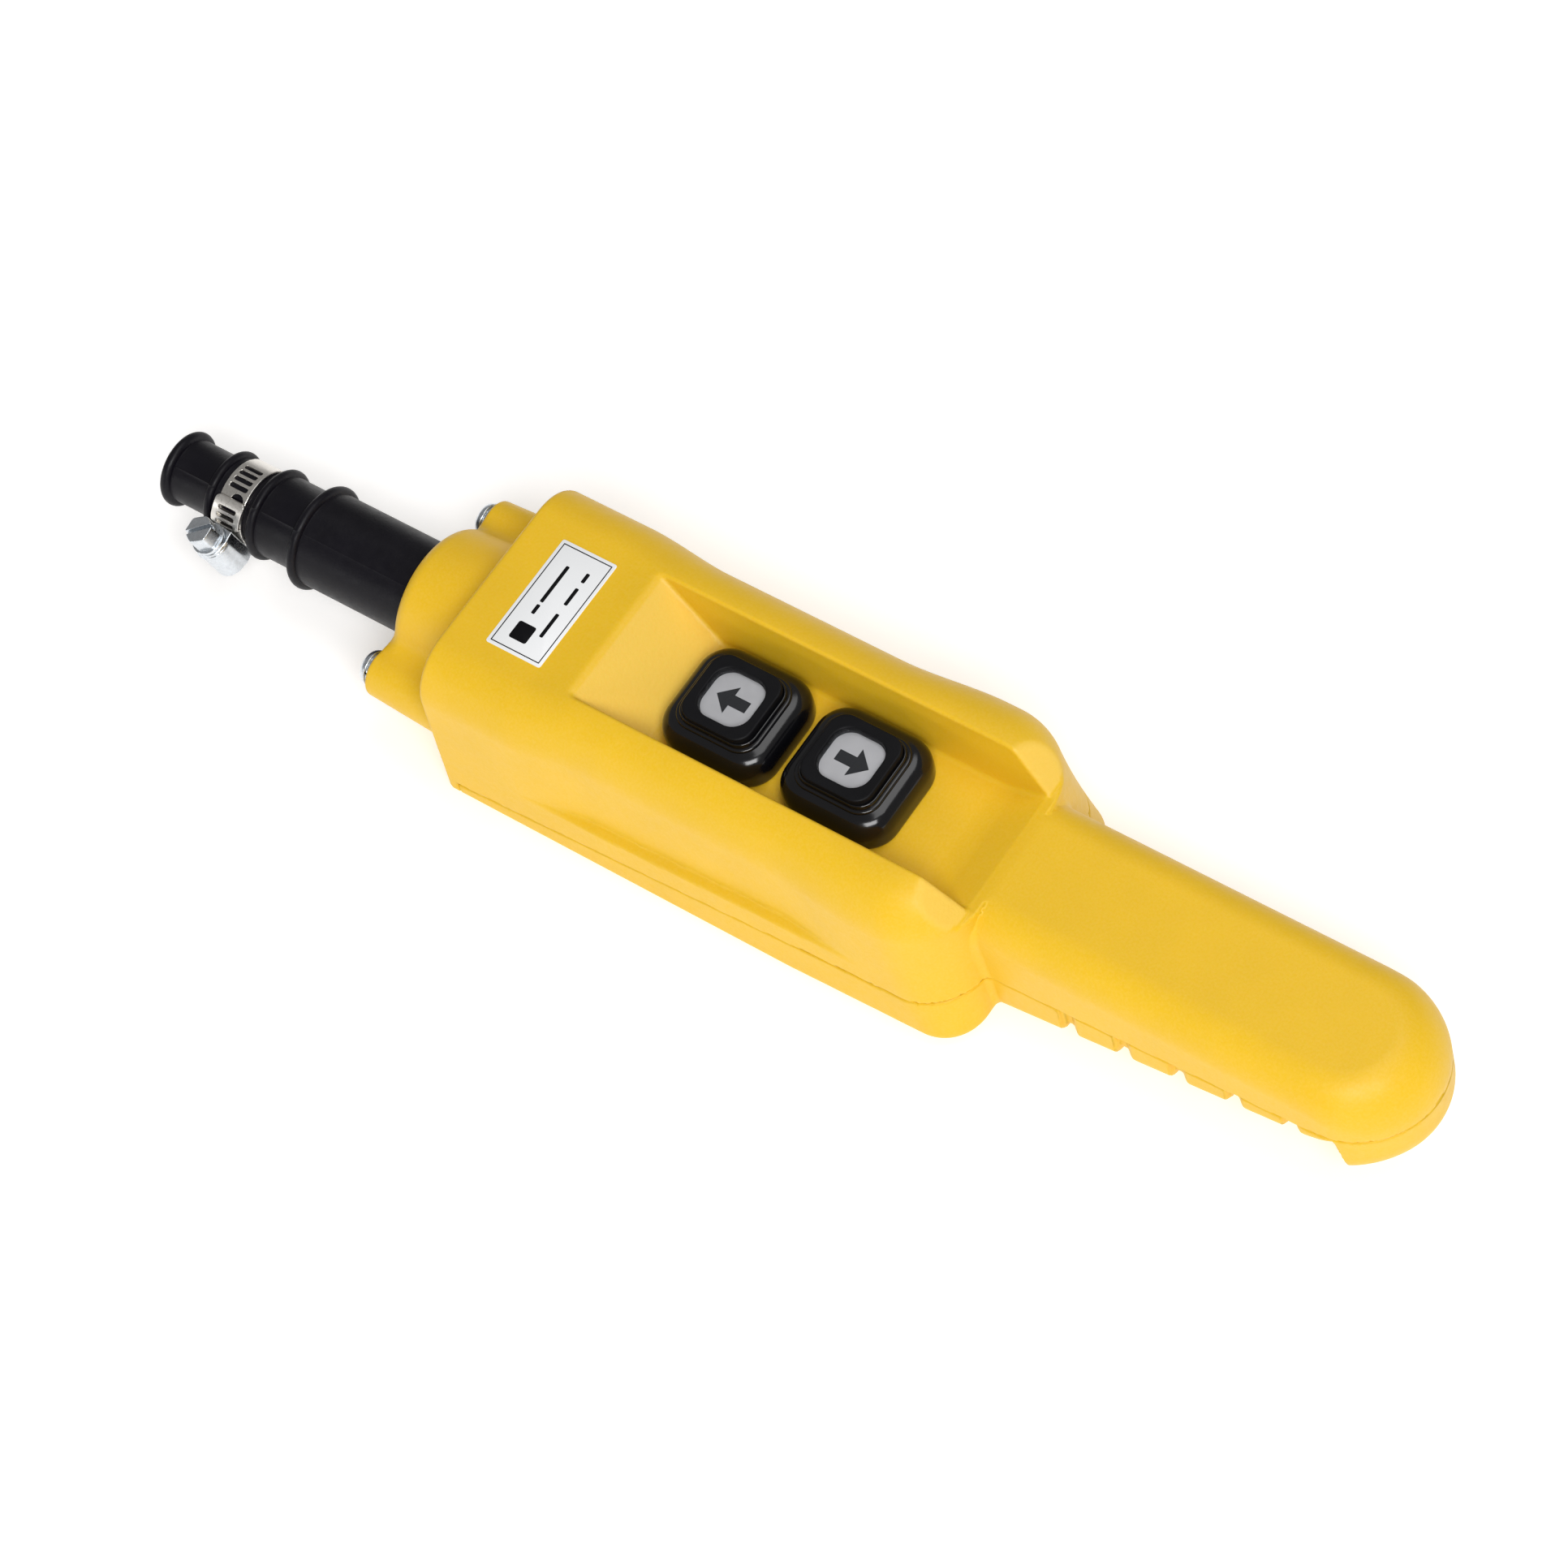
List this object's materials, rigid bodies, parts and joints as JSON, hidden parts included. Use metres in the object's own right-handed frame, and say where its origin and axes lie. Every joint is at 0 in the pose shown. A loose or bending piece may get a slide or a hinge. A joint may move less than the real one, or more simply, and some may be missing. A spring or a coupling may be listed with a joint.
{
  "type": "pendant control station",
  "caption": "Hand-held pendant control station with push buttons in a guarded recess, a grip with finger notches and a stepped cable sleeve with a worm-drive clamp.",
  "frame": {"origin": "bottom centre of the bounding box, on the plane of the flat back that the station lies on", "axes": "+X from the cable sleeve to the tip of the grip, +Z from the back to the buttons, +Y to the left seen from the cable end"},
  "size_m": [0.364, 0.0706, 0.051],
  "materials": {
    "yellow_shell": "satin moulded ABS with a fine spark-eroded texture",
    "black_rubber": "moulded synthetic rubber, slightly shiny",
    "black_plastic": "moulded black plastic",
    "red_plastic": "moulded red plastic",
    "zinc_steel": "bright zinc-plated steel",
    "clamp_steel": "rolled stainless strip",
    "spring_steel": "drawn spring wire",
    "insert_brass": "knurled brass",
    "contact_brass": "stamped brass strip",
    "label_film": "white printed film",
    "legend_silver": "fine silver foil with a black symbol",
    "clear_lens": "clear moulded lens"
  },
  "bodies": {
    "station": {"front_shell": "yellow_shell", "rear_cover": "yellow_shell", "cable_entry_cap": "yellow_shell", "cover_gasket": "black_rubber", "cable_sleeve": "black_rubber", "cover_screws": "zinc_steel", "cap_screws": "zinc_steel", "cap_spring_washers": "zinc_steel", "cap_inserts": "insert_brass", "clamp_band": "clamp_steel", "clamp_housing": "zinc_steel", "rating_label": "label_film", "cord_grip_strap": "zinc_steel", "cord_grip_screws": "zinc_steel", "switch_carrier": "black_plastic", "carrier_screws": "zinc_steel", "up_boot": "black_rubber", "up_return_spring": "spring_steel", "up_contact_block": "black_plastic", "up_fixed_contacts": "contact_brass", "up_terminal_screws": "zinc_steel", "down_boot": "black_rubber", "down_return_spring": "spring_steel", "down_contact_block": "black_plastic", "down_fixed_contacts": "contact_brass", "down_terminal_screws": "zinc_steel"},
    "up_button": {"up_button_cap": "black_plastic", "up_legend_plate": "legend_silver", "up_lens": "clear_lens", "up_stem_clip": "zinc_steel", "up_plunger": "red_plastic", "up_contact_bridge": "contact_brass"},
    "down_button": {"down_button_cap": "black_plastic", "down_legend_plate": "legend_silver", "down_lens": "clear_lens", "down_stem_clip": "zinc_steel", "down_plunger": "red_plastic", "down_contact_bridge": "contact_brass"},
    "clamp_worm": {"clamp_screw": "zinc_steel"}
  },
  "joints": [
    {"name": "up_press", "type": "slide", "parent": "station", "child": "up_button", "axis": [0, 0, -1], "range_m": [0, 0.004], "stiffness_N_per_m": 1500, "springref_m": -0.004, "deforming": ["up_boot", "up_return_spring"]},
    {"name": "down_press", "type": "slide", "parent": "station", "child": "down_button", "axis": [0, 0, -1], "range_m": [0, 0.004], "stiffness_N_per_m": 1500, "springref_m": -0.004, "deforming": ["down_boot", "down_return_spring"]},
    {"name": "clamp_screw_turn", "type": "hinge", "parent": "station", "child": "clamp_worm", "pos_m": [-0.1595, -0.01443, 0.01826], "axis": [-0.1736, -0.171, 0.9698], "continuous": true}
  ]
}
